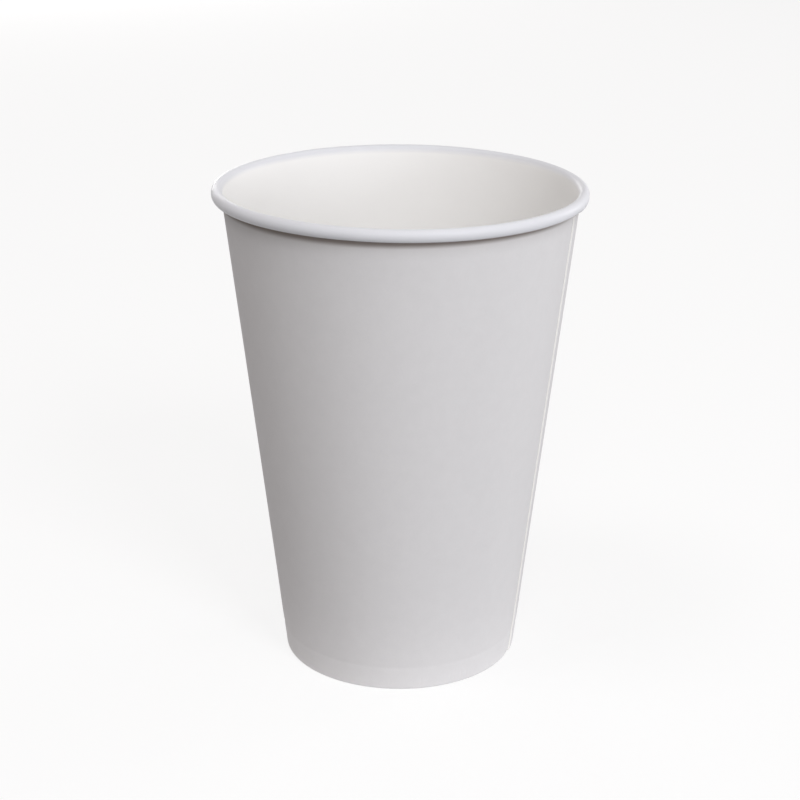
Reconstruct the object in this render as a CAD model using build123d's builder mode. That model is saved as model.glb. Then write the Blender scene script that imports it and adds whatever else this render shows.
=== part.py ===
"""Single-wall paper cup: a conical sidewall blank with a lapped side seam, a rolled rim and a
turned-in foot hem, and a separate drawn bottom whose skirt is sealed inside that hem.

Frame: origin at the centre of the foot, on the surface the cup stands on, with +Z up the cup's axis.
Sizes are in millimetres and degrees. Angles round the cup start at +X and run anticlockwise.
Headings in the upright section start at +X and run anticlockwise, so 90 is straight up.
"""

import os
from math import cos, degrees, radians, sin, tan

from build123d import *

# Driving dimensions of the cup
CUP_HEIGHT = 120.4
RIM_DIAMETER = 90.0
TAPER = 6.46  # half angle of the cone
WALL_BOARD = 0.35  # thickness of the sidewall's board
BASE_BOARD = 0.30  # thickness of the bottom's board
SEAL_FILM = 0.02  # coating left between the bottom's skirt and the plies it is sealed to

# Rolled rim: bend radii of the face that shows, and the heading at which each bend ends
THROAT_BEND = 2.40
THROAT_END = 50.0
CROWN_BEND = 1.15
CROWN_END = -50.0
FLANK_BEND = 1.70
FLANK_END = -130.0
TAIL_BEND = 0.85
TAIL_END = -330.0
ROLL_GAP = 0.07  # the roll's closest approach to the wall under it

# Foot
RECESS_DEPTH = 6.2  # underside of the bottom above the foot
HEM_HEIGHT = 5.0  # edge of the turned-up ply above the foot
HEM_CORNER = 0.06  # inside radius of the hem's folds
SKIRT_LIFT = 0.10  # gap between the skirt's edge and the fold under it
BASE_BEND = 0.45  # inside radius where the bottom turns down into its skirt

# Side seam
SEAM_ANGLE = -17.5  # where the outer flap's cut edge lies
LAP_WIDTH = 7.0  # overlap of the two flaps
RAMP_WIDTH = 4.5  # length in which the outer flap settles back onto the cone
LAP_FOOT_GAP = 0.9  # where the fold presses the outer flap flat, above the foot


def arc_move(radius, start, end):
    """Move made along a clockwise arc from one heading to another."""
    along = radius * (sin(radians(start)) - sin(radians(end)))
    up = radius * (cos(radians(end)) - cos(radians(start)))
    return (along, up)


def polar(radius, angle):
    """Point at a radius and an angle round the cup."""
    return (radius * cos(radians(angle)), radius * sin(radians(angle)))


def around(angle):
    """Direction of travel round the cup at an angle."""
    return (-sin(radians(angle)), cos(radians(angle)))


# Places worked out from the driving dimensions
slope = tan(radians(TAPER))
lean_out = cos(radians(TAPER))
lean_down = sin(radians(TAPER))
wall_heading = 90.0 - TAPER
across = WALL_BOARD / lean_out  # the wall's thickness, measured level
throat_move = arc_move(THROAT_BEND, wall_heading, THROAT_END)
crown_move = arc_move(CROWN_BEND, THROAT_END, CROWN_END)
flank_move = arc_move(FLANK_BEND, CROWN_END, FLANK_END)
roll_width = throat_move[0] + crown_move[0] + arc_move(FLANK_BEND, CROWN_END, -90.0)[0]
roll_rise = throat_move[1] + arc_move(CROWN_BEND, THROAT_END, 0.0)[1]
throat_radius = RIM_DIAMETER / 2 - roll_width
throat_height = CUP_HEIGHT - roll_rise

# The underside's bend carries the roll from its flank to ROLL_GAP off the wall
close_heading = wall_heading - 360.0
flank_out = throat_move[0] + crown_move[0] + flank_move[0]
flank_up = throat_move[1] + crown_move[1] + flank_move[1]
flank_stand = flank_out * lean_out - flank_up * lean_down
unit_move = arc_move(1.0, FLANK_END, close_heading)
unit_stand = unit_move[0] * lean_out - unit_move[1] * lean_down
underside_bend = (WALL_BOARD + ROLL_GAP - flank_stand) / unit_stand
roll_bottom = throat_height + flank_up + arc_move(underside_bend, FLANK_END, -180.0)[1]

roll_bends = (
    (THROAT_BEND, wall_heading, THROAT_END),
    (CROWN_BEND, THROAT_END, CROWN_END),
    (FLANK_BEND, CROWN_END, FLANK_END),
    (underside_bend, FLANK_END, close_heading),
    (TAIL_BEND, close_heading, TAIL_END),
)


def inner_radius(height):
    """Radius of the face the drink touches."""
    return throat_radius + slope * (height - throat_height)


def outer_radius(height):
    """Radius of the cone's outside face."""
    return inner_radius(height) + across


film_across = SEAL_FILM / lean_out
skirt_across = BASE_BOARD / lean_out
hem_across = skirt_across + 2 * film_across  # room between the wall and the turned-up ply
skirt_edge = WALL_BOARD + SKIRT_LIFT
base_top = RECESS_DEPTH + BASE_BOARD


def hem_face(height):
    """Radius of the turned-up ply's face that is sealed to the skirt."""
    return inner_radius(height) - hem_across


# Sidewall: one blank, folded in at the foot and rolled out at the rim
with BuildPart() as sidewall:
    with BuildSketch(Plane.XZ):
        with BuildLine():
            # the coated face, from the hem's edge round the fold and up to the end of the roll
            FilletPolyline(
                (hem_face(HEM_HEIGHT), HEM_HEIGHT),
                (hem_face(WALL_BOARD), WALL_BOARD),
                (inner_radius(WALL_BOARD), WALL_BOARD),
                (throat_radius, throat_height),
                radius=HEM_CORNER,
            )
            coated = (throat_radius, throat_height)
            for bend, start, end in roll_bends:
                face = JernArc(
                    start=coated,
                    tangent=(cos(radians(start)), sin(radians(start))),
                    radius=bend,
                    arc_size=end - start,
                )
                coated = face @ 1
            # the uncoated face, one board thickness away
            hem_edge = (
                hem_face(HEM_HEIGHT) - WALL_BOARD * lean_out,
                HEM_HEIGHT + WALL_BOARD * lean_down,
            )
            raw = (
                throat_radius + WALL_BOARD * lean_out,
                throat_height - WALL_BOARD * lean_down,
            )
            FilletPolyline(
                hem_edge,
                (hem_face(0) - across, 0),
                (outer_radius(0), 0),
                raw,
                radius=HEM_CORNER + WALL_BOARD,
            )
            for bend, start, end in roll_bends:
                face = JernArc(
                    start=raw,
                    tangent=(cos(radians(start)), sin(radians(start))),
                    radius=bend - WALL_BOARD,
                    arc_size=end - start,
                )
                raw = face @ 1
            # the two cut edges of the board
            Line(coated, raw)
            Line((hem_face(HEM_HEIGHT), HEM_HEIGHT), hem_edge)
        make_face()
    revolve(axis=Axis.Z)

    # the outer flap, lying one board thickness above the cone from its cut edge
    for level in (LAP_FOOT_GAP, roll_bottom):
        outside = outer_radius(level)
        rooted = outside - across / 2
        lap_end = SEAM_ANGLE + degrees(LAP_WIDTH / outside)
        ramp_end = lap_end + degrees(RAMP_WIDTH / outside)
        with BuildSketch(Plane.XY.offset(level)):
            with BuildLine():
                Line(polar(rooted, SEAM_ANGLE), polar(outside + across, SEAM_ANGLE))
                ThreePointArc(
                    polar(outside + across, SEAM_ANGLE),
                    polar(outside + across, (SEAM_ANGLE + lap_end) / 2),
                    polar(outside + across, lap_end),
                )
                TangentArc(
                    polar(outside + across, lap_end),
                    polar(outside, ramp_end),
                    tangent=around(lap_end),
                )
                Line(polar(outside, ramp_end), polar(rooted, ramp_end))
                ThreePointArc(
                    polar(rooted, ramp_end),
                    polar(rooted, (SEAM_ANGLE + ramp_end) / 2),
                    polar(rooted, SEAM_ANGLE),
                )
            make_face()
    loft(ruled=True)

    # the step off the inner flap's cut edge, inside the cup
    for level in (base_top, throat_height):
        inside = inner_radius(level)
        hollow = inside - WALL_BOARD
        lap_end = SEAM_ANGLE + degrees(LAP_WIDTH / outer_radius(level))
        ramp_end = lap_end + degrees(RAMP_WIDTH / outer_radius(level))
        with BuildSketch(Plane.XY.offset(level)):
            with BuildLine():
                Line(polar(hollow, lap_end), polar(inside + across, lap_end))
                TangentArc(
                    polar(inside + across, lap_end),
                    polar(inside, ramp_end),
                    tangent=around(lap_end),
                )
                Line(polar(inside, ramp_end), polar(hollow, ramp_end))
                Line(polar(hollow, ramp_end), polar(hollow, lap_end))
            make_face()
    loft(ruled=True, mode=Mode.SUBTRACT)

# Bottom: one disc, drawn down at its edge into the skirt
with BuildPart() as bottom:
    with BuildSketch(Plane.XZ):
        with BuildLine():
            FilletPolyline(
                (0, base_top),
                (inner_radius(base_top) - film_across, base_top),
                (inner_radius(skirt_edge) - film_across, skirt_edge),
                radius=BASE_BEND + BASE_BOARD,
            )
            Line(
                (inner_radius(skirt_edge) - film_across, skirt_edge),
                (hem_face(skirt_edge) + film_across, skirt_edge),
            )
            FilletPolyline(
                (hem_face(skirt_edge) + film_across, skirt_edge),
                (hem_face(RECESS_DEPTH) + film_across, RECESS_DEPTH),
                (0, RECESS_DEPTH),
                radius=BASE_BEND,
            )
            Line((0, RECESS_DEPTH), (0, base_top))
        make_face()
    revolve(axis=Axis.Z)

sidewall.part.label = "sidewall"
bottom.part.label = "bottom"

os.makedirs("parts", exist_ok=True)
export_step(sidewall.part, "parts/sidewall.step")
export_step(bottom.part, "parts/bottom.step")
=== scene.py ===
"""Looks for the single-wall paper cup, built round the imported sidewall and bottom.

Sizes in the classes are millimetres and degrees. Each finished mesh is scaled to metres in the
row's frame: the foot's centre at the origin, +Z up the cup, angles round the cup from +X.
"""

import logging
import math
from dataclasses import dataclass
from enum import Enum

import bmesh
import bpy
from mathutils import Matrix, Vector, noise

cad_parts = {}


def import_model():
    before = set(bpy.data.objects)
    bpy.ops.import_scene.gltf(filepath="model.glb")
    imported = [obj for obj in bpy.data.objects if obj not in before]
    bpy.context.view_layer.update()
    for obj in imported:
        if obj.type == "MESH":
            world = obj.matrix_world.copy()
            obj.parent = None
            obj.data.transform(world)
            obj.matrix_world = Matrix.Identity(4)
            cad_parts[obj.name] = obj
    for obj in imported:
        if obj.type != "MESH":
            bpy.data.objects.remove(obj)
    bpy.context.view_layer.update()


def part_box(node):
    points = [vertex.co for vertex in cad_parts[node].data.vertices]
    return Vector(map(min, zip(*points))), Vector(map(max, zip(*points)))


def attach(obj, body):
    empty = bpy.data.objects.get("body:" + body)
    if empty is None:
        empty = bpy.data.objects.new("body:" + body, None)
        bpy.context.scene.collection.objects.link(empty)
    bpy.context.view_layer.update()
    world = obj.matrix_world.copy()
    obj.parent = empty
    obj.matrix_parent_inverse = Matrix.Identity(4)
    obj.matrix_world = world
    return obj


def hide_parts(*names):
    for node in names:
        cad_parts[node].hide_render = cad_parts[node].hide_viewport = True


log = logging.getLogger("paper_cup")
MM = 0.001


class Face(Enum):
    """Which face of the board a polygon belongs to; the value is its material slot."""

    COATED = 0
    RAW = 1
    CUT_EDGE = 2


def smooth(value: float, low: float, high: float) -> float:
    """Ease from 0 at low to 1 at high.

    Args:
        value: The number to place between low and high.
        low: Where the result leaves 0.
        high: Where the result reaches 1.

    Returns:
        The eased share, from 0 to 1.
    """
    share = min(max((value - low) / (high - low), 0.0), 1.0)
    return share * share * (3.0 - 2.0 * share)


def heading(angle: float) -> Vector:
    """Direction in the upright section, with 0 outwards and 90 straight up."""
    return Vector((math.cos(math.radians(angle)), 0.0, math.sin(math.radians(angle))))


@dataclass
class BoardPen:
    """Draws one face of folded board as a chain of edges in the upright section.

    Attributes:
        mesh: The bmesh that holds the chain.
        tip: The chain's last vertex.
        angle: The heading at the tip.
    """

    mesh: bmesh.types.BMesh
    tip: bmesh.types.BMVert
    angle: float

    def run_to(self, radius: float, height: float) -> None:
        """Extend the chain by one straight edge.

        Args:
            radius: Distance of the edge's end from the cup's axis.
            height: Height of the edge's end above the foot.
        """
        grown = bmesh.ops.extrude_vert_indiv(self.mesh, verts=[self.tip])
        self.tip = grown["verts"][0]
        self.tip.co = Vector((radius, 0.0, height))

    def bend(self, radius: float, turn: float, steps: int) -> None:
        """Extend the chain by an arc that leaves along the present heading.

        Args:
            radius: Bend radius of this face.
            turn: Degrees turned, anticlockwise when positive.
            steps: Edges in the arc.
        """
        side = math.copysign(90.0, turn)
        centre = self.tip.co + radius * heading(self.angle + side)
        spun = bmesh.ops.spin(
            self.mesh,
            geom=[self.tip],
            cent=centre,
            axis=(0.0, -math.copysign(1.0, turn), 0.0),
            angle=math.radians(abs(turn)),
            steps=steps,
            use_merge=False,
        )
        self.tip = next(g for g in spun["geom_last"] if isinstance(g, bmesh.types.BMVert))
        self.angle += turn


@dataclass
class Board:
    """A sheet of cup board that becomes a closed solid with its faces told apart.

    Attributes:
        thickness: Thickness of the board.
        crisp: Angle past which an edge shades as a crease.
    """

    thickness: float
    crisp: float = 38.0

    def thicken(self, name: str, mesh: bmesh.types.BMesh) -> bpy.types.Object:
        """Give a sheet that lies on the coated face its thickness, away from that face.

        Args:
            name: Name of the piece.
            mesh: The sheet in millimetres, with normals on its coated side. It is freed.

        Returns:
            The finished piece, in metres, with one material slot for each Face.
        """
        for polygon in mesh.faces:
            polygon.smooth = True
            polygon.material_index = Face.COATED.value
        bmesh.ops.scale(mesh, vec=(MM, MM, MM), verts=mesh.verts)
        data = bpy.data.meshes.new(name)
        mesh.to_mesh(data)
        mesh.free()
        piece = bpy.data.objects.new(name, data)
        bpy.context.scene.collection.objects.link(piece)
        for face in Face:
            data.materials.append(None)
        ply = piece.modifiers.new("board", "SOLIDIFY")
        ply.thickness = self.thickness * MM
        ply.offset = -1.0
        ply.use_even_offset = True
        ply.use_quality_normals = True
        ply.material_offset = Face.RAW.value
        ply.material_offset_rim = Face.CUT_EDGE.value
        bpy.context.view_layer.update()
        thick = piece.evaluated_get(bpy.context.evaluated_depsgraph_get())
        piece.data = bpy.data.meshes.new_from_object(thick)
        piece.modifiers.clear()
        piece.data.name = name
        piece.data.set_sharp_from_angle(angle=math.radians(self.crisp))
        return piece


@dataclass
class Sidewall:
    """The wall's blank: lapped at the side, folded in at the foot and rolled out at the rim.

    The roll is a throat, a crown, a flank, an underside and a tucked-in tail. Each bend's radius
    is that of the coated face, and each end is the heading where that bend stops.

    Attributes:
        height: From the foot to the top of the roll.
        rim_radius: Half the width across the roll.
        taper: How far the cone leans from upright.
        board: Thickness of the wall's board.
        bottom_board: Thickness of the bottom's board, which the hem makes room for.
        film: Gap on each side of the bottom's skirt.
        roll_gap: Gap between the roll's underside and the wall.
        roll_height: From the top of the roll to its underside.
        hem_height: How far up the hem reaches inside the foot.
        hem_corner: Bend radius of the coated face at the foot's fold.
        crease_height: Height of the crease where the foot was pressed round the bottom.
        swell_depth: How far the wall swells above the crease, from swell_span's start to its end.
        seam_angle: Where the outer flap's cut edge stands.
        lap_width: How far the flaps lap.
        ramp_width: Length in which the outer flap comes back down to the cone.
        cut_slant: How far back the cut edge slopes through the board.
        fold_span: Heights between which the foot's fold stops giving way to the lap.
        oval: How much wider the rim is across the cup, and narrower from front to back.
        flattening: How much of that the rim loses at the right.
        rim_waves: Rise of the rim and the angle of its middle in radians, for each slow wave.
        ripple: How far the roll's small ripple moves it outwards and up.
        ripple_scale: Waves in the ripple.
    """

    height: float
    rim_radius: float
    taper: float = 6.46
    board: float = 0.35
    bottom_board: float = 0.30
    film: float = 0.02

    throat_bend: float = 2.40
    throat_end: float = 50.0
    crown_bend: float = 1.15
    crown_end: float = -50.0
    flank_bend: float = 1.70
    flank_end: float = -130.0
    tail_bend: float = 0.85
    tail_end: float = -330.0
    roll_gap: float = 0.07

    hem_height: float = 5.0
    hem_corner: float = 0.06
    crease_height: float = 6.2
    crease_depth: float = 0.07
    crease_width: float = 0.65
    swell_depth: float = 0.05
    swell_span: tuple[float, float, float] = (6.2, 9.0, 24.0)

    roll_height: float = 3.0
    seam_angle: float = -17.5
    lap_width: float = 7.0
    ramp_width: float = 4.5
    lap_film: float = 0.02
    cut_slant: float = 0.22
    fold_span: tuple[float, float] = (0.5, 2.4)

    oval: float = 0.24
    flattening: float = 0.14
    rim_waves: tuple[tuple[float, float], ...] = ((0.42, 4.1), (0.12, 1.6), (-0.25, 0.25))
    ripple: tuple[float, float] = (0.06, 0.05)
    ripple_scale: float = 3.1

    columns: int = 384
    lap_columns: int = 10
    ramp_columns: int = 12
    corner_steps: int = 4
    throat_steps: int = 5
    crown_steps: int = 12
    flank_steps: int = 9
    under_steps: int = 15
    tail_steps: int = 5

    def __post_init__(self) -> None:
        """Work out where the cone meets the roll."""
        self.slope = math.tan(math.radians(self.taper))
        self.lean = math.cos(math.radians(self.taper))
        self.rise = 90.0 - self.taper
        self.close_end = self.rise - 360.0
        throat = self._arc(self.throat_bend, self.rise, self.throat_end)
        crown = self._arc(self.crown_bend, self.throat_end, self.crown_end)
        flank = self._arc(self.flank_bend, self.crown_end, self.flank_end)
        width = throat.x + crown.x + self._arc(self.flank_bend, self.crown_end, -90.0).x
        lift = throat.z + self._arc(self.crown_bend, self.throat_end, 0.0).z
        self.throat_radius = self.rim_radius - width
        self.throat_height = self.height - lift
        outward = heading(-self.taper)
        stand = (throat + crown + flank).dot(outward)
        unit = self._arc(1.0, self.flank_end, self.close_end).dot(outward)
        self.under_bend = (self.board + self.roll_gap - stand) / unit

    @staticmethod
    def _arc(radius: float, start: float, end: float) -> Vector:
        """Move made along a clockwise arc from one heading to another."""
        return radius * (heading(start + 90.0) - heading(end + 90.0)) * -1.0

    def inner_radius(self, height: float) -> float:
        """Radius of the coated face of the cone at a height."""
        return self.throat_radius + self.slope * (height - self.throat_height)

    def hem_radius(self, height: float) -> float:
        """Radius of the hem's coated face, which is sealed to the bottom's skirt."""
        room = self.bottom_board + 2.0 * self.film
        return self.inner_radius(height) - room / self.lean

    def relief(self, height: float) -> float:
        """How far the wall stands off its cone, where the foot was pressed round the bottom."""
        off = (height - self.crease_height) / self.crease_width
        groove = -self.crease_depth * math.exp(-off * off)
        start, full, end = self.swell_span
        swell = smooth(height, start, full) * (1.0 - smooth(height, full, end))
        return groove + self.swell_depth * swell

    def _section(self, mesh: bmesh.types.BMesh) -> None:
        """Draw the blank's coated face, from the hem's cut edge to the end of the roll.

        Args:
            mesh: The empty bmesh that receives the chain of edges.
        """
        up = heading(self.rise)
        corner_in = Vector((self.hem_radius(self.board), 0.0, self.board))
        corner_out = Vector((self.inner_radius(self.board), 0.0, self.board))
        turn_in = 90.0 + self.taper
        turn_out = self.rise
        start = (self.hem_radius(self.hem_height), 0.0, self.hem_height)
        pen = BoardPen(mesh, mesh.verts.new(start), self.rise - 180.0)
        first = corner_in + up * self.hem_corner * math.tan(math.radians(turn_in / 2.0))
        for share in (0.12, 0.3, 0.5, 0.7, 0.88, 1.0):
            stop = Vector(start).lerp(first, share)
            pen.run_to(stop.x, stop.z)
        pen.bend(self.hem_corner, turn_in, self.corner_steps)
        inset = self.hem_corner * math.tan(math.radians(turn_out / 2.0))
        pen.run_to(corner_out.x - inset, self.board)
        pen.bend(self.hem_corner, turn_out, self.corner_steps)
        stops = [0.8, 1.5, 2.3, 3.1, 3.9, 4.5, 4.9, 5.2, 5.5, 5.8, 6.05, 6.3, 6.6, 6.9, 7.3]
        stops += [7.9, 8.8, 10.2, 12.5, 16.0, 21.0]
        stops += [27.0 + 7.5 * step for step in range(12)]
        stops += [114.5, 117.0]
        for stop in stops:
            pen.run_to(self.inner_radius(stop) + self.relief(stop), stop)
        pen.run_to(self.throat_radius, self.throat_height)
        pen.angle = self.rise
        pen.bend(self.throat_bend, self.throat_end - self.rise, self.throat_steps)
        pen.bend(self.crown_bend, self.crown_end - self.throat_end, self.crown_steps)
        pen.bend(self.flank_bend, self.flank_end - self.crown_end, self.flank_steps)
        pen.bend(self.under_bend, self.close_end - self.flank_end, self.under_steps)
        pen.bend(self.tail_bend, self.tail_end - self.close_end, self.tail_steps)

    def _normals(self, points: list[Vector]) -> list[Vector]:
        """Directions from the coated face into the board, along the section.

        Args:
            points: The section's points in order.

        Returns:
            One unit vector for each point, to the right of the way the section is drawn.
        """
        found = []
        for index, point in enumerate(points):
            before = points[max(index - 1, 0)]
            after = points[min(index + 1, len(points) - 1)]
            along = (after - before).normalized()
            found.append(Vector((along.z, 0.0, -along.x)))
        return found

    def _angle(self, column: int, radius: float) -> float:
        """Angle round the cup of a column of the sheet, from the outer flap's cut edge.

        Args:
            column: The column, counted from the outer flap's cut edge.
            radius: Distance from the axis, which sets how much angle the lap takes.

        Returns:
            The angle in degrees, past 360 on the inner flap.
        """
        lap = math.degrees(self.lap_width / radius)
        ramp = lap + math.degrees(self.ramp_width / radius)
        lapped, ramped = self.lap_columns, self.lap_columns + self.ramp_columns
        tucked = self.columns - self.lap_columns
        knots = [(0, 0.0), (lapped, lap), (ramped, ramp), (tucked, 360.0)]
        knots.append((self.columns, 360.0 + lap))
        for (low, start), (high, end) in zip(knots, knots[1:]):
            if column <= high:
                return start + (end - start) * (column - low) / (high - low)
        return 360.0 + lap

    def _thickening(self, angle: float, radius: float) -> float:
        """How much the lap's second ply pushes what it touches, round the cup.

        Args:
            angle: Degrees from the outer flap's cut edge.
            radius: Distance from the axis.

        Returns:
            1 over the lap, easing to 0 on both sides of it.
        """
        lap = math.degrees(self.lap_width / radius)
        fade = math.degrees(self.ramp_width / radius)
        turned = angle % 360.0
        behind = smooth(turned, 360.0 - fade, 359.5)
        ahead = 1.0 - smooth(turned, lap, lap + fade)
        return max(behind, ahead)

    def _unround(self, spot: Vector, turn: float, share: float) -> None:
        """Move a point as the real cup's rim strays from round and level.

        Args:
            spot: The point in the upright section, which is moved.
            turn: Its angle round the cup in radians.
            share: How much of the rim's straying it gets.
        """
        spot.x += self.oval * share * math.cos(2.0 * turn)
        spot.x -= self.flattening * share * max(math.cos(turn), 0.0)
        for rise, middle in self.rim_waves:
            spot.z += rise * share * max(math.cos(turn - middle), 0.0) ** 3

    def _lay(self, mesh: bmesh.types.BMesh, points: list[Vector]) -> None:
        """Lap the spun sheet's two edges, and let the roll and the fold give way to the lap.

        Args:
            mesh: The spun sheet, its columns in order and each in the section's order.
            points: The section's points.
        """
        normals = self._normals(points)
        step = self.board + self.lap_film
        rows = len(points)
        flank_row = rows - 1 - self.tail_steps - self.under_steps - self.flank_steps
        for vert in mesh.verts:
            column, row = divmod(vert.index, rows)
            point, normal = points[row], normals[row]
            angle = self._angle(column, point.x)
            push = self._thickening(angle, point.x) * step
            ramped = smooth(column, self.lap_columns, self.lap_columns + self.ramp_columns)
            spot = point + normal * ((1.0 - ramped) * step)
            spot.x += push * smooth(row, flank_row + 4, flank_row + 16)
            spot.z += push * (1.0 - smooth(point.z, *self.fold_span))
            turn = math.radians(angle + self.seam_angle)
            self._unround(spot, turn, (point.z / self.height) ** 2)
            curl = smooth(point.z, self.throat_height - 3.0, self.throat_height + 1.0)
            around = Vector((math.cos(turn), math.sin(turn), 0.3))
            wave = curl * noise.noise(around * self.ripple_scale)
            spot += Vector((self.ripple[0] * wave, 0.0, self.ripple[1] * wave))
            vert.co = Vector((spot.x * math.cos(turn), spot.x * math.sin(turn), spot.z))

    def build(self) -> bpy.types.Object:
        """Roll the section up into the finished wall.

        Returns:
            The wall as one closed piece.
        """
        mesh = bmesh.new()
        self._section(mesh)
        mesh.verts.index_update()
        points = [vert.co.copy() for vert in mesh.verts]
        bmesh.ops.spin(
            mesh,
            geom=mesh.verts[:] + mesh.edges[:],
            cent=(0.0, 0.0, 0.0),
            axis=(0.0, 0.0, 1.0),
            angle=math.radians(370.0),
            steps=self.columns,
            use_merge=False,
        )
        mesh.verts.index_update()
        self._lay(mesh, points)
        mesh.normal_update()
        mesh.faces.ensure_lookup_table()
        wall = min(mesh.faces, key=lambda f: abs(f.calc_center_median().z - self.height / 2.0))
        if wall.normal.dot(wall.calc_center_median()) > 0.0:
            bmesh.ops.reverse_faces(mesh, faces=mesh.faces)
        piece = Board(self.board).thicken("cup_wall", mesh)
        self._slant_cut(piece.data)
        return piece

    def _slant_cut(self, data: bpy.types.Mesh) -> None:
        """Slope the outer flap's cut edge, as the blank's knife leaves it.

        Args:
            data: The thickened wall, in metres.
        """
        faces_at = {}
        for polygon in data.polygons:
            for index in polygon.vertices:
                faces_at.setdefault(index, set()).add(polygon.material_index)
        outer_corner = {Face.RAW.value, Face.CUT_EDGE.value}
        reach = 0.3
        for index, faces in faces_at.items():
            spot = data.vertices[index].co
            radius = spot.xy.length / MM
            angle = math.degrees(math.atan2(spot.y, spot.x))
            outer_flap = radius - self.inner_radius(spot.z / MM) > 1.6 * self.board
            at_seam = abs(angle - self.seam_angle) < reach
            if outer_corner <= faces and outer_flap and at_seam:
                spot.rotate(Matrix.Rotation(self.cut_slant / radius, 3, "Z"))


@dataclass
class Bottom:
    """The bottom's disc, drawn down at its edge into a skirt that the hem holds.

    Attributes:
        wall: The sidewall that it is sealed into.
        recess: Height of the disc's underside above the foot.
        board: Thickness of the bottom's board.
        bend: Bend radius of the bare face where the disc turns down.
        skirt_edge: Height of the skirt's cut edge above the foot.
        inset: Gap between the skirt and the wall.
        ring_radius: Radius of the faint ring that the clamp left.
        ring_depth: Depth of that ring.
        ring_width: Spread of that ring.
        dish: How far the middle of the disc lies below its edge.
    """

    wall: Sidewall
    recess: float = 6.2
    board: float = 0.30
    bend: float = 0.45
    skirt_edge: float = 0.90
    inset: float = 0.03
    ring_radius: float = 26.4
    ring_depth: float = 0.06
    ring_width: float = 0.5
    dish: float = 0.25
    columns: int = 256

    def _fall(self, radius: float) -> float:
        """How far the disc's top lies below its edge, from the dish and the clamp's ring."""
        share = min(radius / self.ring_radius, 1.0)
        off = (radius - self.ring_radius) / self.ring_width
        return self.dish * (1.0 - share * share) ** 2 + self.ring_depth * math.exp(-off * off)

    def build(self) -> bpy.types.Object:
        """Spin the disc and its skirt.

        Returns:
            The bottom as one closed piece.
        """
        top = self.recess + self.board
        shoulder = self.bend + self.board
        turn = 90.0 + self.wall.taper
        reach = shoulder * math.tan(math.radians(turn / 2.0))
        edge = self.wall.inner_radius(top) - self.inset
        mesh = bmesh.new()
        pen = BoardPen(mesh, mesh.verts.new((0.0, 0.0, top - self._fall(0.0))), 0.0)
        broad = (1.5, 4.0, 7.0, 10.5, 14.0, 17.5, 20.5, 23.0, 24.8)
        for radius in (*broad, 25.6, 26.0, 26.4, 26.8, 27.2, 27.8):
            pen.run_to(radius, top - self._fall(radius))
        pen.run_to(edge - reach, top)
        pen.bend(shoulder, -turn, 8)
        for height in (5.0, 4.0, 3.0, 2.0, 1.4, self.skirt_edge):
            pen.run_to(self.wall.inner_radius(height) - self.inset, height)
        bmesh.ops.spin(
            mesh,
            geom=mesh.verts[:] + mesh.edges[:],
            cent=(0.0, 0.0, 0.0),
            axis=(0.0, 0.0, 1.0),
            angle=math.radians(360.0),
            steps=self.columns,
            use_merge=True,
        )
        bmesh.ops.remove_doubles(mesh, verts=mesh.verts, dist=0.001)
        bmesh.ops.recalc_face_normals(mesh, faces=mesh.faces)
        middle = min(mesh.faces, key=lambda f: f.calc_center_median().xy.length)
        if middle.normal.z < 0.0:
            bmesh.ops.reverse_faces(mesh, faces=mesh.faces)
        return Board(self.board).thicken("cup_bottom", mesh)


class NodeBench:
    """A node tree with short calls for adding and joining nodes.

    Attributes:
        tree: The tree.
    """

    def __init__(self, tree: bpy.types.NodeTree) -> None:
        """Start on an empty tree."""
        self.tree = tree
        self.tree.nodes.clear()

    def add(self, kind: str, **settings: object) -> bpy.types.Node:
        """Add a node.

        Args:
            kind: The node's type.
            settings: Attributes to set on it.

        Returns:
            The node.
        """
        made = self.tree.nodes.new(kind)
        for name, value in settings.items():
            setattr(made, name, value)
        return made

    def join(self, source: bpy.types.NodeSocket, target: bpy.types.NodeSocket) -> None:
        """Join two sockets."""
        self.tree.links.new(source, target)

    def math(self, operation: str, *values: object) -> bpy.types.NodeSocket:
        """Add a Math node.

        Args:
            operation: What it works out.
            values: Numbers, or sockets to join.

        Returns:
            Its output.
        """
        made = self.add("ShaderNodeMath", operation=operation)
        for socket, value in zip(made.inputs, values):
            if isinstance(value, bpy.types.NodeSocket):
                self.join(value, socket)
            else:
                socket.default_value = value
        return made.outputs[0]

    def ease(self, value: bpy.types.NodeSocket, start: float, end: float) -> bpy.types.NodeSocket:
        """Add a smooth step from 0 to 1 between two places.

        Args:
            value: A place in metres.
            start: Where the step starts, in millimetres.
            end: Where it ends, in millimetres.

        Returns:
            The step's output.
        """
        step = self.add("ShaderNodeMapRange", interpolation_type="SMOOTHSTEP")
        step.inputs["From Min"].default_value = start * MM
        step.inputs["From Max"].default_value = end * MM
        self.join(value, step.inputs["Value"])
        return step.outputs["Result"]


def open_group(name: str, inputs: dict[str, str], outputs: dict[str, str]) -> NodeBench:
    """Make an empty shader node group with named sockets.

    Args:
        name: Name of the group.
        inputs: Socket name to socket type.
        outputs: Socket name to socket type.

    Returns:
        A bench on the group's tree.
    """
    group = bpy.data.node_groups.new(name, "ShaderNodeTree")
    for title, kind in inputs.items():
        group.interface.new_socket(title, in_out="INPUT", socket_type=kind)
    for title, kind in outputs.items():
        group.interface.new_socket(title, in_out="OUTPUT", socket_type=kind)
    return NodeBench(group)


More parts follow.
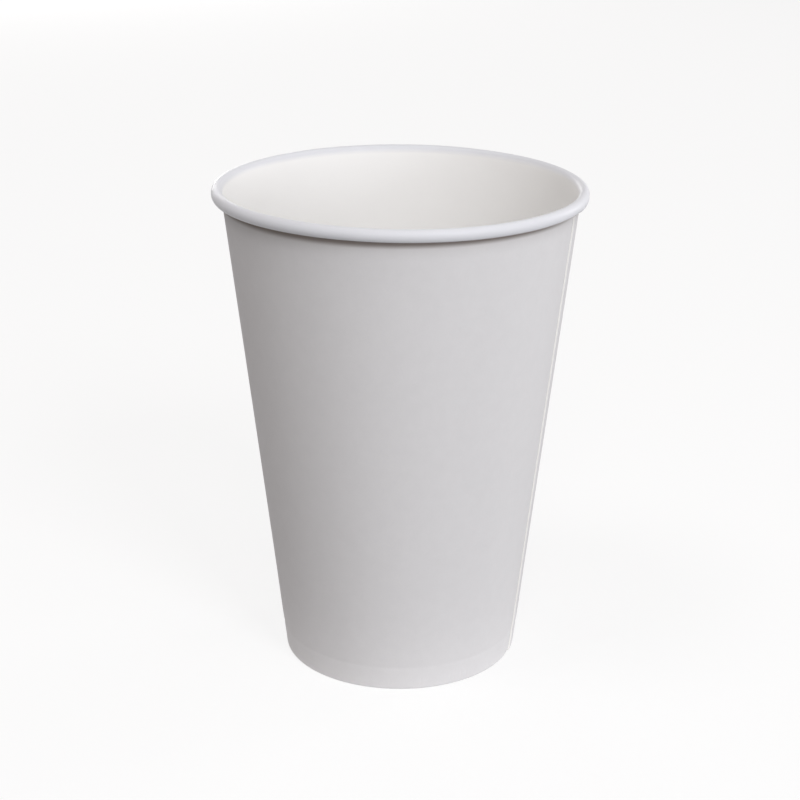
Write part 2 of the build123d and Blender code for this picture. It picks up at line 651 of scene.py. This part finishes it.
def fibre_group() -> bpy.types.NodeTree:
    """Build the board's fibre: fine grain and the cloudy look of its formation.

    Returns:
        The group, with a Tone that multiplies the colour and a Height for relief.
    """
    real = "NodeSocketFloat"
    bench = open_group(
        "board_fibre",
        {"Vector": "NodeSocketVector", "Grain": real, "Cloud": real},
        {"Tone": real, "Height": real},
    )
    source = bench.add("NodeGroupInput")
    sink = bench.add("NodeGroupOutput")
    grain = bench.add("ShaderNodeTexNoise")
    grain.inputs["Scale"].default_value = 1900.0
    grain.inputs["Detail"].default_value = 3.0
    grain.inputs["Roughness"].default_value = 0.62
    cloud = bench.add("ShaderNodeTexNoise")
    cloud.inputs["Scale"].default_value = 330.0
    cloud.inputs["Detail"].default_value = 4.0
    cloud.inputs["Roughness"].default_value = 0.55
    for texture in (grain, cloud):
        bench.join(source.outputs["Vector"], texture.inputs["Vector"])
    fine = bench.math("SUBTRACT", grain.outputs["Fac"], 0.5)
    wide = bench.math("SUBTRACT", cloud.outputs["Fac"], 0.5)
    fine_tone = bench.math("MULTIPLY", fine, source.outputs["Grain"])
    wide_tone = bench.math("MULTIPLY", wide, source.outputs["Cloud"])
    tone = bench.math("ADD", bench.math("ADD", fine_tone, wide_tone), 1.0)
    height = bench.math("MULTIPLY_ADD", wide, 0.8, fine)
    bench.join(tone, sink.inputs["Tone"])
    bench.join(height, sink.inputs["Height"])
    return bench.tree


def knurl_group() -> bpy.types.NodeTree:
    """Build the short upright creases that the foot's seal is pressed with.

    Returns:
        The group, with a Height that is 0 above the foot's band.
    """
    real = "NodeSocketFloat"
    bench = open_group(
        "foot_knurl",
        {"Vector": "NodeSocketVector", "Ribs": real, "Share": real, "Low": real, "High": real},
        {"Height": real},
    )
    source = bench.add("NodeGroupInput")
    sink = bench.add("NodeGroupOutput")
    apart = bench.add("ShaderNodeSeparateXYZ")
    bench.join(source.outputs["Vector"], apart.inputs["Vector"])
    turn = bench.math("ARCTAN2", apart.outputs["Y"], apart.outputs["X"])
    share = bench.math("ADD", bench.math("DIVIDE", turn, 2.0 * math.pi), 0.5)
    place = bench.math("MULTIPLY", share, source.outputs["Ribs"])
    cell = bench.math("FLOOR", place)
    chance = bench.add("ShaderNodeTexWhiteNoise", noise_dimensions="1D")
    bench.join(cell, chance.inputs["W"])
    struck = bench.math("LESS_THAN", chance.outputs["Value"], source.outputs["Share"])
    across = bench.math("SUBTRACT", bench.math("FRACT", place), 0.5)
    ridge = bench.math("SUBTRACT", 1.0, bench.math("MULTIPLY", bench.math("ABSOLUTE", across), 5.0))
    ridge = bench.math("MAXIMUM", ridge, 0.0)
    heights = []
    for name, flip in (("Low", 1.0), ("High", -1.0)):
        off = bench.math("SUBTRACT", apart.outputs["Z"], source.outputs[name])
        inside = bench.math("MULTIPLY", off, flip * 1800.0)
        clamped = bench.add("ShaderNodeClamp")
        bench.join(inside, clamped.inputs["Value"])
        heights.append(clamped.outputs["Result"])
    band = bench.math("MULTIPLY", heights[0], heights[1])
    height = bench.math("MULTIPLY", bench.math("MULTIPLY", ridge, struck), band)
    bench.join(height, sink.inputs["Height"])
    return bench.tree


def roll_group(wall: Sidewall) -> bpy.types.NodeTree:
    """Build the masks of the shade painted on the rolled rim and of the shadow painted under it.

    Args:
        wall: The wall whose cone and roll they are measured from.

    Returns:
        The group, with a RimShade of 1 on the roll, where shade is painted, and a CreviceShadow
        that deepens up to the roll's underside, where contact shadow is painted, on points that
        stand off the cone by more than Standoff.
    """
    real = "NodeSocketFloat"
    bench = open_group(
        "roll_shade_masks",
        {"Vector": "NodeSocketVector", "Standoff": real},
        {"RimShade": real, "CreviceShadow": real},
    )
    source = bench.add("NodeGroupInput")
    sink = bench.add("NodeGroupOutput")
    apart = bench.add("ShaderNodeSeparateXYZ")
    bench.join(source.outputs["Vector"], apart.inputs["Vector"])
    level = bench.add("ShaderNodeCombineXYZ")
    bench.join(apart.outputs["X"], level.inputs["X"])
    bench.join(apart.outputs["Y"], level.inputs["Y"])
    length = bench.add("ShaderNodeVectorMath", operation="LENGTH")
    bench.join(level.outputs["Vector"], length.inputs[0])
    foot = wall.inner_radius(0.0) * MM
    cone = bench.math("MULTIPLY_ADD", apart.outputs["Z"], wall.slope, foot)
    off = bench.math("SUBTRACT", length.outputs["Value"], cone)
    low = wall.height - wall.roll_height
    up = apart.outputs["Z"]
    # Mask of the shade painted over the roll and its throat.
    throat = bench.ease(up, wall.throat_height - 0.3, wall.throat_height + 1.1)
    reach = bench.math("MAXIMUM", bench.ease(off, 0.3, 0.9), throat)
    bench.join(reach, sink.inputs["RimShade"])
    # Painted contact shadow under the roll: a strong narrow band and a faint wide one, reaching up
    # to the roll's underside, only where the surface stands off the cone by more than Standoff.
    narrow = bench.math("MULTIPLY", bench.ease(up, low - 1.9, low - 0.45), 0.62)
    wide = bench.math("MULTIPLY", bench.ease(up, low - 5.0, low - 0.5), 0.14)
    deep = bench.math("ADD", narrow, wide)
    below = bench.math("SUBTRACT", 1.0, bench.ease(up, low, low + 0.5))
    clear = bench.math("GREATER_THAN", off, source.outputs["Standoff"])
    shade = bench.math("MULTIPLY", bench.math("MULTIPLY", deep, below), clear)
    bench.join(shade, sink.inputs["CreviceShadow"])
    return bench.tree


@dataclass(frozen=True)
class Knurl:
    """The short upright creases pressed into the foot.

    Attributes:
        ribs: Places for a crease round the cup.
        share: Share of the places that have one.
        low: Height where they start, in millimetres.
        high: Height where they end, in millimetres.
        depth: How deep they are, in millimetres.
    """

    ribs: float = 120.0
    share: float = 0.20
    low: float = 0.7
    high: float = 3.4
    depth: float = 0.012


@dataclass(frozen=True)
class Groups:
    """The node groups that the finishes share.

    Attributes:
        fibre: The board's fibre.
        knurl: The foot's creases.
        roll: The masks of the shade painted on the rolled rim and of the shadow painted in the
            crevice under it.
    """

    fibre: bpy.types.NodeTree
    knurl: bpy.types.NodeTree
    roll: bpy.types.NodeTree


@dataclass(frozen=True)
class BoardFinish:
    """How one face of the board looks.

    Attributes:
        name: Name of the material.
        colour: Linear colour of the clean face.
        roughness: Roughness of the face.
        specular: Strength of its plain reflection.
        grain: Tone change of the fine grain.
        cloud: Tone change of the cloudy formation.
        relief: Height of the fibre's relief in millimetres.
        knurl: The foot's creases, or None for none.
        painted_rim_shade: Linear colour of the shade painted on the rolled rim, cooled as a painted
            reflection, or None to keep the face's own.
        painted_crevice_shadow: Linear colour of the contact shadow painted deep under the roll, or
            None for none.
        standoff: How far off the cone the painted crevice shadow starts, in millimetres.
    """

    name: str
    colour: tuple[float, float, float]
    roughness: float
    specular: float
    grain: float
    cloud: float
    relief: float
    knurl: Knurl | None = None
    painted_rim_shade: tuple[float, float, float] | None = None
    painted_crevice_shadow: tuple[float, float, float] | None = None
    standoff: float = -5.0

    @staticmethod
    def _cover(
        bench: NodeBench,
        mask: bpy.types.NodeSocket,
        under: bpy.types.NodeSocket | tuple[float, float, float],
        over: tuple[float, float, float],
    ) -> bpy.types.NodeSocket:
        """Lay one colour over another by a mask.

        Args:
            bench: The material's tree.
            mask: 1 where the upper colour covers.
            under: The colour below, or the socket that gives it.
            over: The colour on top.

        Returns:
            The mixed colour's socket.
        """
        blend = bench.add("ShaderNodeMix", data_type="VECTOR")
        first, second = [socket for socket in blend.inputs if socket.type == "VECTOR"][-2:]
        if isinstance(under, bpy.types.NodeSocket):
            bench.join(under, first)
        else:
            first.default_value = under
        second.default_value = over
        bench.join(mask, blend.inputs["Factor"])
        return next(socket for socket in blend.outputs if socket.type == "VECTOR")

    def _paint_shade(
        self, bench: NodeBench, groups: Groups, place: bpy.types.NodeSocket
    ) -> bpy.types.NodeSocket | tuple[float, float, float]:
        """Paint shade on the rolled rim and contact shadow in the crevice under it, where the
        finish has them.

        Args:
            bench: The material's tree.
            groups: The shared node groups.
            place: The Object coordinates.

        Returns:
            The socket of the colour, or the plain colour where the finish has neither.
        """
        colour = self.colour
        if not (self.painted_rim_shade or self.painted_crevice_shadow):
            return colour
        roll = bench.add("ShaderNodeGroup", node_tree=groups.roll)
        bench.join(place, roll.inputs["Vector"])
        roll.inputs["Standoff"].default_value = self.standoff * MM
        # Painted shade over the roll, tinted cool as a painted reflection.
        if self.painted_rim_shade:
            colour = self._cover(bench, roll.outputs["RimShade"], colour, self.painted_rim_shade)
        # Painted contact shadow under the roll.
        if self.painted_crevice_shadow:
            colour = self._cover(bench, roll.outputs["CreviceShadow"], colour, self.painted_crevice_shadow)
        return colour

    def _creased(
        self,
        bench: NodeBench,
        groups: Groups,
        place: bpy.types.NodeSocket,
        normal: bpy.types.NodeSocket,
    ) -> bpy.types.NodeSocket:
        """Press the foot's creases into the surface.

        Args:
            bench: The material's tree.
            groups: The shared node groups.
            place: The Object coordinates.
            normal: The normal before the creases.

        Returns:
            The normal with them.
        """
        creases = bench.add("ShaderNodeGroup", node_tree=groups.knurl)
        bench.join(place, creases.inputs["Vector"])
        creases.inputs["Ribs"].default_value = self.knurl.ribs
        creases.inputs["Share"].default_value = self.knurl.share
        creases.inputs["Low"].default_value = self.knurl.low * MM
        creases.inputs["High"].default_value = self.knurl.high * MM
        pressed = bench.add("ShaderNodeBump")
        pressed.inputs["Strength"].default_value = 1.0
        pressed.inputs["Distance"].default_value = -self.knurl.depth * MM
        bench.join(creases.outputs["Height"], pressed.inputs["Height"])
        bench.join(normal, pressed.inputs["Normal"])
        return pressed.outputs["Normal"]

    def material(self, groups: Groups) -> bpy.types.Material:
        """Build the material.

        Args:
            groups: The shared node groups.

        Returns:
            The material.
        """
        made = bpy.data.materials.new(self.name)
        made.use_nodes = True
        bench = NodeBench(made.node_tree)
        out = bench.add("ShaderNodeOutputMaterial")
        shader = bench.add("ShaderNodeBsdfPrincipled")
        bench.join(shader.outputs["BSDF"], out.inputs["Surface"])
        shader.inputs["Specular IOR Level"].default_value = self.specular
        place = bench.add("ShaderNodeTexCoord").outputs["Object"]
        fibre = bench.add("ShaderNodeGroup", node_tree=groups.fibre)
        bench.join(place, fibre.inputs["Vector"])
        fibre.inputs["Grain"].default_value = self.grain
        fibre.inputs["Cloud"].default_value = self.cloud
        tint = bench.add("ShaderNodeVectorMath", operation="SCALE")
        colour = self._paint_shade(bench, groups, place)
        if isinstance(colour, bpy.types.NodeSocket):
            bench.join(colour, tint.inputs[0])
        else:
            tint.inputs[0].default_value = colour
        bench.join(fibre.outputs["Tone"], tint.inputs["Scale"])
        bench.join(tint.outputs["Vector"], shader.inputs["Base Color"])
        rough = bench.math("MULTIPLY", fibre.outputs["Tone"], self.roughness)
        bench.join(rough, shader.inputs["Roughness"])
        bump = bench.add("ShaderNodeBump")
        bump.inputs["Strength"].default_value = 1.0
        bump.inputs["Distance"].default_value = self.relief * MM
        bench.join(fibre.outputs["Height"], bump.inputs["Height"])
        normal = bump.outputs["Normal"]
        if self.knurl:
            normal = self._creased(bench, groups, place, normal)
        bench.join(normal, shader.inputs["Normal"])
        return made


WALL_FINISHES = {
    Face.COATED: BoardFinish(
        name="coated_inside",
        colour=(0.90, 0.893, 0.88),
        roughness=0.42,
        specular=0.2,
        grain=0.010,
        cloud=0.008,
        relief=0.004,
        # The roll is painted darker and cooler than the coated board: painted shade with a painted
        # cool reflection tint.
        painted_rim_shade=(0.70, 0.705, 0.735),
        # Painted contact shadow on the roll's underside.
        painted_crevice_shadow=(0.16, 0.12, 0.10),
        standoff=1.2,
    ),
    Face.RAW: BoardFinish(
        name="raw_outside",
        colour=(0.69, 0.68, 0.685),
        roughness=0.82,
        specular=0.2,
        grain=0.035,
        cloud=0.055,
        relief=0.012,
        knurl=Knurl(),
        # Painted contact shadow on the wall just under the roll.
        painted_crevice_shadow=(0.16, 0.115, 0.09),
    ),
    Face.CUT_EDGE: BoardFinish("wall_cut_edge", (0.84, 0.825, 0.80), 0.95, 0.1, 0.06, 0.04, 0.02),
}
BOTTOM_FINISHES = {
    Face.COATED: BoardFinish("coated_bottom", (0.90, 0.893, 0.88), 0.42, 0.2, 0.010, 0.008, 0.004),
    Face.RAW: BoardFinish("raw_underside", (0.70, 0.685, 0.67), 0.85, 0.2, 0.04, 0.04, 0.014),
    Face.CUT_EDGE: BoardFinish("skirt_cut_edge", (0.84, 0.825, 0.80), 0.95, 0.1, 0.06, 0.04, 0.02),
}


CUP_MIDDLE = Vector((0.0, 0.0, 0.07))


@dataclass(frozen=True)
class Lamp:
    """One soft square panel lamp that faces the cup.

    Attributes:
        name: Name of the lamp.
        turn: Degrees round the cup from +X, anticlockwise.
        lift: Degrees above the level of the cup's middle.
        power: Its power in watts.
        colour: Its colour.
        size: Side of the panel in metres.
        distance: How far it stands from the cup's middle, in metres.
    """

    name: str
    turn: float
    lift: float
    power: float
    colour: tuple[float, float, float] = (1.0, 1.0, 1.0)
    size: float = 0.5
    distance: float = 1.6

    def light(self) -> bpy.types.Object:
        """Stand the lamp up.

        Returns:
            The lamp's object.
        """
        data = bpy.data.lights.new(self.name, "AREA")
        data.size = self.size
        data.energy = self.power
        data.color = self.colour
        lamp = bpy.data.objects.new(self.name, data)
        turn, lift = math.radians(self.turn), math.radians(self.lift)
        level = math.cos(lift)
        away = Vector((math.cos(turn) * level, math.sin(turn) * level, math.sin(lift)))
        lamp.location = CUP_MIDDLE + away * self.distance
        lamp.rotation_euler = (-away).to_track_quat("-Z", "Y").to_euler()
        bpy.context.scene.collection.objects.link(lamp)
        return lamp


COOL = (0.96, 0.975, 1.0)
COLD = (0.93, 0.955, 1.0)
NEUTRAL = (1.0, 0.995, 1.0)
WARM = (1.0, 0.94, 0.90)
LAMPS = (
    Lamp("key_panel", -60.0, 35.0, 7.8, COOL),
    Lamp("low_key_panel", -60.0, 12.0, 2.6, COLD),
    Lamp("right_panel", -30.0, 6.0, 5.1, COLD),
    Lamp("right_rim_panel", 30.0, 7.0, 5.3, NEUTRAL),
    Lamp("front_panel", -90.0, 35.0, 3.5, NEUTRAL),
    Lamp("high_left_panel", -150.0, 66.0, 4.6, NEUTRAL),
    Lamp("back_panel", 150.0, 35.0, 1.0, WARM),
    Lamp("back_fill_panel", 105.0, 6.0, 4.0, NEUTRAL),
)


@dataclass
class Studio:
    """The pale floor, the even surround, the lamps and the camera.

    Attributes:
        surround: Linear colour of the even light from all round.
        floor_tone: How much light the floor gives back.
        sheet_tone: How much the pale sheet under the cup gives back.
        sheet_edge: Distances from the cup's axis in metres where the sheet starts and ends fading.
        seen_tone: How much light the floor gives back to the eye, which is what shows the shadow.
        floor_lift: Strength of white added to the floor for the eye.
        floor_size: Side of the floor in metres.
        eye: Where the camera stands, in metres.
        pitch: Degrees that it looks down.
        roll: Degrees that it leans.
        focal: Its focal length, in units of which frame_width make the frame.
        frame_width: Width of the frame in those units.
    """

    surround: tuple[float, float, float] = (0.378, 0.357, 0.349)
    sheet_tone: float = 0.78
    sheet_edge: tuple[float, float] = (0.032, 0.062)
    floor_tone: float = 0.36
    seen_tone: float = 0.24
    floor_lift: float = 0.76
    floor_size: float = 8.0
    eye: tuple[float, float, float] = (0.0, -0.42945, 0.22281)
    pitch: float = 20.14
    roll: float = 0.17
    focal: float = 1834.0
    frame_width: float = 800.0

    def _backdrop_rays(self, bench: NodeBench) -> bpy.types.NodeSocket:
        """Add the test for rays that look at the backdrop.

        Args:
            bench: The tree to add it to.

        Returns:
            A socket that is 1 for camera, glossy and transmission rays.
        """
        path = bench.add("ShaderNodeLightPath")
        seen = bench.math("MAXIMUM", path.outputs["Is Camera Ray"], path.outputs["Is Glossy Ray"])
        return bench.math("MAXIMUM", seen, path.outputs["Is Transmission Ray"])

    def surround_light(self) -> None:
        """Light the scene evenly, in front of a white backdrop."""
        world = bpy.data.worlds.new("surround")
        bpy.context.scene.world = world
        world.use_nodes = True
        bench = NodeBench(world.node_tree)
        out = bench.add("ShaderNodeOutputWorld")
        light = bench.add("ShaderNodeBackground")
        light.inputs["Color"].default_value = (*self.surround, 1.0)
        white = bench.add("ShaderNodeBackground")
        white.inputs["Color"].default_value = (1.0, 1.0, 1.0, 1.0)
        either = bench.add("ShaderNodeMixShader")
        bench.join(self._backdrop_rays(bench), either.inputs["Fac"])
        bench.join(light.outputs["Background"], either.inputs[1])
        bench.join(white.outputs["Background"], either.inputs[2])
        bench.join(either.outputs["Shader"], out.inputs["Surface"])

    def floor(self) -> bpy.types.Object:
        """Lay the floor, which looks white and keeps the cup's shadow.

        Returns:
            The floor's object.
        """
        mesh = bmesh.new()
        bmesh.ops.create_grid(mesh, x_segments=1, y_segments=1, size=self.floor_size / 2.0)
        data = bpy.data.meshes.new("floor")
        mesh.to_mesh(data)
        mesh.free()
        slab = bpy.data.objects.new("floor", data)
        bpy.context.scene.collection.objects.link(slab)
        paint = bpy.data.materials.new("floor_white")
        paint.use_nodes = True
        bench = NodeBench(paint.node_tree)
        out = bench.add("ShaderNodeOutputMaterial")
        matt = bench.add("ShaderNodeBsdfDiffuse")
        seen = self._backdrop_rays(bench)
        place = bench.add("ShaderNodeTexCoord")
        away = bench.add("ShaderNodeVectorMath", operation="LENGTH")
        bench.join(place.outputs["Object"], away.inputs[0])
        sheet = bench.add("ShaderNodeMapRange", interpolation_type="SMOOTHSTEP")
        bench.join(away.outputs["Value"], sheet.inputs["Value"])
        sheet.inputs["From Min"].default_value = self.sheet_edge[0]
        sheet.inputs["From Max"].default_value = self.sheet_edge[1]
        sheet.inputs["To Min"].default_value = self.sheet_tone
        sheet.inputs["To Max"].default_value = self.floor_tone
        tone = bench.add("ShaderNodeMapRange")
        bench.join(seen, tone.inputs["Value"])
        bench.join(sheet.outputs["Result"], tone.inputs["To Min"])
        tone.inputs["To Max"].default_value = self.seen_tone
        bench.join(tone.outputs["Result"], matt.inputs["Color"])
        glow = bench.add("ShaderNodeEmission")
        glow.inputs["Color"].default_value = (1.0, 1.0, 1.0, 1.0)
        lift = bench.math("MULTIPLY", seen, self.floor_lift)
        bench.join(lift, glow.inputs["Strength"])
        both = bench.add("ShaderNodeAddShader")
        bench.join(matt.outputs["BSDF"], both.inputs[0])
        bench.join(glow.outputs["Emission"], both.inputs[1])
        bench.join(both.outputs["Shader"], out.inputs["Surface"])
        data.materials.append(paint)
        return slab

    def camera(self) -> bpy.types.Object:
        """Set up the camera, a little above the rim and looking down on the cup.

        Returns:
            The camera's object.
        """
        data = bpy.data.cameras.new("camera")
        data.sensor_width = 36.0
        data.lens = self.focal / self.frame_width * data.sensor_width
        data.clip_start = 0.01
        view = bpy.data.objects.new("camera", data)
        tilt = Matrix.Rotation(math.radians(90.0 - self.pitch), 4, "X")
        lean = Matrix.Rotation(math.radians(self.roll), 4, "Z")
        view.matrix_world = Matrix.Translation(self.eye) @ tilt @ lean
        bpy.context.scene.collection.objects.link(view)
        bpy.context.scene.camera = view
        return view

    def build(self) -> None:
        """Set the whole studio up."""
        bpy.context.scene.view_settings.view_transform = "Standard"
        self.surround_light()
        self.floor()
        for lamp in LAMPS:
            lamp.light()
        self.camera()


def main() -> None:
    """Build the cup's pieces round the frame, dress them and set up the studio."""
    logging.basicConfig(level=logging.INFO, format="%(name)s: %(message)s")
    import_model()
    low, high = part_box("sidewall")
    wall = Sidewall(height=high.z / MM, rim_radius=(high.x - low.x) / 2.0 / MM)
    bottom = Bottom(wall)
    groups = Groups(fibre_group(), knurl_group(), roll_group(wall))
    jobs = (
        (wall.build(), "sidewall", "wall_board", WALL_FINISHES),
        (bottom.build(), "bottom", "bottom_board", BOTTOM_FINISHES),
    )
    for piece, node, slot, finishes in jobs:
        for face in Face:
            piece.data.materials[face.value] = finishes[face].material(groups)
        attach(piece, "root")
        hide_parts(node)
        log.info("%s: %d faces in place of %s", piece.name, len(piece.data.polygons), node)
    Studio().build()


if __name__ == "__main__":
    main()
